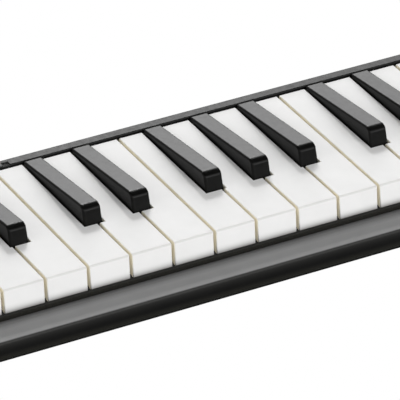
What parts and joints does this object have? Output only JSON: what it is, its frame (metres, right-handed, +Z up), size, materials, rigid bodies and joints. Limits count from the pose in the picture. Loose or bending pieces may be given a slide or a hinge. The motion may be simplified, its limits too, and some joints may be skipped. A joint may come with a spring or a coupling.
{
  "type": "melodica",
  "caption": "Melodica: blown free-reed keyboard in a satin black two-part casing, with separately hinged white and black keys, a mouthpiece and a drain button.",
  "frame": {"origin": "middle of the flat underside, on the resting plane", "axes": "+X along the keyboard to the high notes, -Y towards the player, +Z up out of the key tops"},
  "size_m": [0.4685, 0.1134, 0.0471],
  "materials": {
    "key_white": "fine satin gloss, faint moulding grain",
    "key_black": "satin black with fine texture, soft sheen on top",
    "casing_satin_black": "satin black moulded plastic",
    "inner_black_plastic": "plain moulded black",
    "mouthpiece_gloss": "polished black",
    "chamber_plastic": "pale grey moulded plastic",
    "gasket_board": "soft gasket board",
    "reed_plate_brass": "dull rolled brass",
    "reed_bronze": "filed phosphor bronze",
    "bright_steel": "bright steel",
    "dark_steel": "black oxide steel",
    "spring_steel": "blued spring steel",
    "strap_steel": "nickel plated steel",
    "felt_dark": "dense dark wool felt",
    "seal_rubber": "soft rubber",
    "strap_webbing": "woven elastic webbing"
  },
  "bodies": {
    "body": {"upper_case": "casing_satin_black", "lower_case": "casing_satin_black", "valve_deck": "chamber_plastic", "wind_chamber": "chamber_plastic", "chamber_gasket": "gasket_board", "reed_plate_bass": "reed_plate_brass", "reed_plate_treble": "reed_plate_brass", "reeds": "reed_bronze", "reed_rivets": "bright_steel", "chamber_screws": "bright_steel", "key_bed": "inner_black_plastic", "stop_felts": "felt_dark", "bed_screws": "bright_steel", "key_shaft": "bright_steel", "shaft_clips": "bright_steel", "key_springs": "spring_steel", "mouthpiece_socket": "inner_black_plastic", "drain_spring": "spring_steel", "hand_strap": "strap_webbing", "strap_anchors": "strap_steel", "strap_screws": "dark_steel", "case_screws": "dark_steel"},
    "key_f3": {"key_f3": "key_white"},
    "key_fs3": {"key_fs3": "key_black"},
    "key_g3": {"key_g3": "key_white"},
    "key_gs3": {"key_gs3": "key_black"},
    "key_a3": {"key_a3": "key_white"},
    "key_as3": {"key_as3": "key_black"},
    "key_b3": {"key_b3": "key_white"},
    "key_c4": {"key_c4": "key_white"},
    "key_cs4": {"key_cs4": "key_black"},
    "key_d4": {"key_d4": "key_white"},
    "key_ds4": {"key_ds4": "key_black"},
    "key_e4": {"key_e4": "key_white"},
    "key_f4": {"key_f4": "key_white"},
    "key_fs4": {"key_fs4": "key_black"},
    "key_g4": {"key_g4": "key_white"},
    "key_gs4": {"key_gs4": "key_black"},
    "key_a4": {"key_a4": "key_white"},
    "key_as4": {"key_as4": "key_black"},
    "key_b4": {"key_b4": "key_white"},
    "key_c5": {"key_c5": "key_white"},
    "key_cs5": {"key_cs5": "key_black"},
    "key_d5": {"key_d5": "key_white"},
    "key_ds5": {"key_ds5": "key_black"},
    "key_e5": {"key_e5": "key_white"},
    "key_f5": {"key_f5": "key_white"},
    "key_fs5": {"key_fs5": "key_black"},
    "key_g5": {"key_g5": "key_white"},
    "key_gs5": {"key_gs5": "key_black"},
    "key_a5": {"key_a5": "key_white"},
    "key_as5": {"key_as5": "key_black"},
    "key_b5": {"key_b5": "key_white"},
    "key_c6": {"key_c6": "key_white"},
    "mouthpiece": {"mouthpiece": "mouthpiece_gloss", "mouthpiece_oring": "seal_rubber"},
    "drain_button": {"drain_button": "inner_black_plastic", "drain_seal": "seal_rubber"}
  },
  "joints": [
    {"name": "press_f3", "type": "hinge", "parent": "body", "child": "key_f3", "pos_m": [0, 0.026, 0.029], "axis": [1, 0, 0], "range_deg": [0, 3.75], "stiffness_Nm_per_rad": 0.08, "springref_deg": -34.38, "deforming": ["key_springs"]},
    {"name": "press_fs3", "type": "hinge", "parent": "body", "child": "key_fs3", "pos_m": [0, 0.026, 0.029], "axis": [1, 0, 0], "range_deg": [0, 5], "stiffness_Nm_per_rad": 0.08, "springref_deg": -34.38, "deforming": ["key_springs"]},
    {"name": "press_g3", "type": "hinge", "parent": "body", "child": "key_g3", "pos_m": [0, 0.026, 0.029], "axis": [1, 0, 0], "range_deg": [0, 3.75], "stiffness_Nm_per_rad": 0.08, "springref_deg": -34.38, "deforming": ["key_springs"]},
    {"name": "press_gs3", "type": "hinge", "parent": "body", "child": "key_gs3", "pos_m": [0, 0.026, 0.029], "axis": [1, 0, 0], "range_deg": [0, 5], "stiffness_Nm_per_rad": 0.08, "springref_deg": -34.38, "deforming": ["key_springs"]},
    {"name": "press_a3", "type": "hinge", "parent": "body", "child": "key_a3", "pos_m": [0, 0.026, 0.029], "axis": [1, 0, 0], "range_deg": [0, 3.75], "stiffness_Nm_per_rad": 0.08, "springref_deg": -34.38, "deforming": ["key_springs"]},
    {"name": "press_as3", "type": "hinge", "parent": "body", "child": "key_as3", "pos_m": [0, 0.026, 0.029], "axis": [1, 0, 0], "range_deg": [0, 5], "stiffness_Nm_per_rad": 0.08, "springref_deg": -34.38, "deforming": ["key_springs"]},
    {"name": "press_b3", "type": "hinge", "parent": "body", "child": "key_b3", "pos_m": [0, 0.026, 0.029], "axis": [1, 0, 0], "range_deg": [0, 3.75], "stiffness_Nm_per_rad": 0.08, "springref_deg": -34.38, "deforming": ["key_springs"]},
    {"name": "press_c4", "type": "hinge", "parent": "body", "child": "key_c4", "pos_m": [0, 0.026, 0.029], "axis": [1, 0, 0], "range_deg": [0, 3.75], "stiffness_Nm_per_rad": 0.08, "springref_deg": -34.38, "deforming": ["key_springs"]},
    {"name": "press_cs4", "type": "hinge", "parent": "body", "child": "key_cs4", "pos_m": [0, 0.026, 0.029], "axis": [1, 0, 0], "range_deg": [0, 5], "stiffness_Nm_per_rad": 0.08, "springref_deg": -34.38, "deforming": ["key_springs"]},
    {"name": "press_d4", "type": "hinge", "parent": "body", "child": "key_d4", "pos_m": [0, 0.026, 0.029], "axis": [1, 0, 0], "range_deg": [0, 3.75], "stiffness_Nm_per_rad": 0.08, "springref_deg": -34.38, "deforming": ["key_springs"]},
    {"name": "press_ds4", "type": "hinge", "parent": "body", "child": "key_ds4", "pos_m": [0, 0.026, 0.029], "axis": [1, 0, 0], "range_deg": [0, 5], "stiffness_Nm_per_rad": 0.08, "springref_deg": -34.38, "deforming": ["key_springs"]},
    {"name": "press_e4", "type": "hinge", "parent": "body", "child": "key_e4", "pos_m": [0, 0.026, 0.029], "axis": [1, 0, 0], "range_deg": [0, 3.75], "stiffness_Nm_per_rad": 0.08, "springref_deg": -34.38, "deforming": ["key_springs"]},
    {"name": "press_f4", "type": "hinge", "parent": "body", "child": "key_f4", "pos_m": [0, 0.026, 0.029], "axis": [1, 0, 0], "range_deg": [0, 3.75], "stiffness_Nm_per_rad": 0.08, "springref_deg": -34.38, "deforming": ["key_springs"]},
    {"name": "press_fs4", "type": "hinge", "parent": "body", "child": "key_fs4", "pos_m": [0, 0.026, 0.029], "axis": [1, 0, 0], "range_deg": [0, 5], "stiffness_Nm_per_rad": 0.08, "springref_deg": -34.38, "deforming": ["key_springs"]},
    {"name": "press_g4", "type": "hinge", "parent": "body", "child": "key_g4", "pos_m": [0, 0.026, 0.029], "axis": [1, 0, 0], "range_deg": [0, 3.75], "stiffness_Nm_per_rad": 0.08, "springref_deg": -34.38, "deforming": ["key_springs"]},
    {"name": "press_gs4", "type": "hinge", "parent": "body", "child": "key_gs4", "pos_m": [0, 0.026, 0.029], "axis": [1, 0, 0], "range_deg": [0, 5], "stiffness_Nm_per_rad": 0.08, "springref_deg": -34.38, "deforming": ["key_springs"]},
    {"name": "press_a4", "type": "hinge", "parent": "body", "child": "key_a4", "pos_m": [0, 0.026, 0.029], "axis": [1, 0, 0], "range_deg": [0, 3.75], "stiffness_Nm_per_rad": 0.08, "springref_deg": -34.38, "deforming": ["key_springs"]},
    {"name": "press_as4", "type": "hinge", "parent": "body", "child": "key_as4", "pos_m": [0, 0.026, 0.029], "axis": [1, 0, 0], "range_deg": [0, 5], "stiffness_Nm_per_rad": 0.08, "springref_deg": -34.38, "deforming": ["key_springs"]},
    {"name": "press_b4", "type": "hinge", "parent": "body", "child": "key_b4", "pos_m": [0, 0.026, 0.029], "axis": [1, 0, 0], "range_deg": [0, 3.75], "stiffness_Nm_per_rad": 0.08, "springref_deg": -34.38, "deforming": ["key_springs"]},
    {"name": "press_c5", "type": "hinge", "parent": "body", "child": "key_c5", "pos_m": [0, 0.026, 0.029], "axis": [1, 0, 0], "range_deg": [0, 3.75], "stiffness_Nm_per_rad": 0.08, "springref_deg": -34.38, "deforming": ["key_springs"]},
    {"name": "press_cs5", "type": "hinge", "parent": "body", "child": "key_cs5", "pos_m": [0, 0.026, 0.029], "axis": [1, 0, 0], "range_deg": [0, 5], "stiffness_Nm_per_rad": 0.08, "springref_deg": -34.38, "deforming": ["key_springs"]},
    {"name": "press_d5", "type": "hinge", "parent": "body", "child": "key_d5", "pos_m": [0, 0.026, 0.029], "axis": [1, 0, 0], "range_deg": [0, 3.75], "stiffness_Nm_per_rad": 0.08, "springref_deg": -34.38, "deforming": ["key_springs"]},
    {"name": "press_ds5", "type": "hinge", "parent": "body", "child": "key_ds5", "pos_m": [0, 0.026, 0.029], "axis": [1, 0, 0], "range_deg": [0, 5], "stiffness_Nm_per_rad": 0.08, "springref_deg": -34.38, "deforming": ["key_springs"]},
    {"name": "press_e5", "type": "hinge", "parent": "body", "child": "key_e5", "pos_m": [0, 0.026, 0.029], "axis": [1, 0, 0], "range_deg": [0, 3.75], "stiffness_Nm_per_rad": 0.08, "springref_deg": -34.38, "deforming": ["key_springs"]},
    {"name": "press_f5", "type": "hinge", "parent": "body", "child": "key_f5", "pos_m": [0, 0.026, 0.029], "axis": [1, 0, 0], "range_deg": [0, 3.75], "stiffness_Nm_per_rad": 0.08, "springref_deg": -34.38, "deforming": ["key_springs"]},
    {"name": "press_fs5", "type": "hinge", "parent": "body", "child": "key_fs5", "pos_m": [0, 0.026, 0.029], "axis": [1, 0, 0], "range_deg": [0, 5], "stiffness_Nm_per_rad": 0.08, "springref_deg": -34.38, "deforming": ["key_springs"]},
    {"name": "press_g5", "type": "hinge", "parent": "body", "child": "key_g5", "pos_m": [0, 0.026, 0.029], "axis": [1, 0, 0], "range_deg": [0, 3.75], "stiffness_Nm_per_rad": 0.08, "springref_deg": -34.38, "deforming": ["key_springs"]},
    {"name": "press_gs5", "type": "hinge", "parent": "body", "child": "key_gs5", "pos_m": [0, 0.026, 0.029], "axis": [1, 0, 0], "range_deg": [0, 5], "stiffness_Nm_per_rad": 0.08, "springref_deg": -34.38, "deforming": ["key_springs"]},
    {"name": "press_a5", "type": "hinge", "parent": "body", "child": "key_a5", "pos_m": [0, 0.026, 0.029], "axis": [1, 0, 0], "range_deg": [0, 3.75], "stiffness_Nm_per_rad": 0.08, "springref_deg": -34.38, "deforming": ["key_springs"]},
    {"name": "press_as5", "type": "hinge", "parent": "body", "child": "key_as5", "pos_m": [0, 0.026, 0.029], "axis": [1, 0, 0], "range_deg": [0, 5], "stiffness_Nm_per_rad": 0.08, "springref_deg": -34.38, "deforming": ["key_springs"]},
    {"name": "press_b5", "type": "hinge", "parent": "body", "child": "key_b5", "pos_m": [0, 0.026, 0.029], "axis": [1, 0, 0], "range_deg": [0, 3.75], "stiffness_Nm_per_rad": 0.08, "springref_deg": -34.38, "deforming": ["key_springs"]},
    {"name": "press_c6", "type": "hinge", "parent": "body", "child": "key_c6", "pos_m": [0, 0.026, 0.029], "axis": [1, 0, 0], "range_deg": [0, 3.75], "stiffness_Nm_per_rad": 0.08, "springref_deg": -34.38, "deforming": ["key_springs"]},
    {"name": "pull_mouthpiece", "type": "slide", "parent": "body", "child": "mouthpiece", "axis": [-1, 0, 0], "range_m": [0, 0.03]},
    {"name": "press_drain_button", "type": "slide", "parent": "body", "child": "drain_button", "axis": [0, 0, 1], "range_m": [0, 0.0018], "stiffness_N_per_m": 250, "springref_m": -0.003, "deforming": ["drain_spring"]}
  ]
}
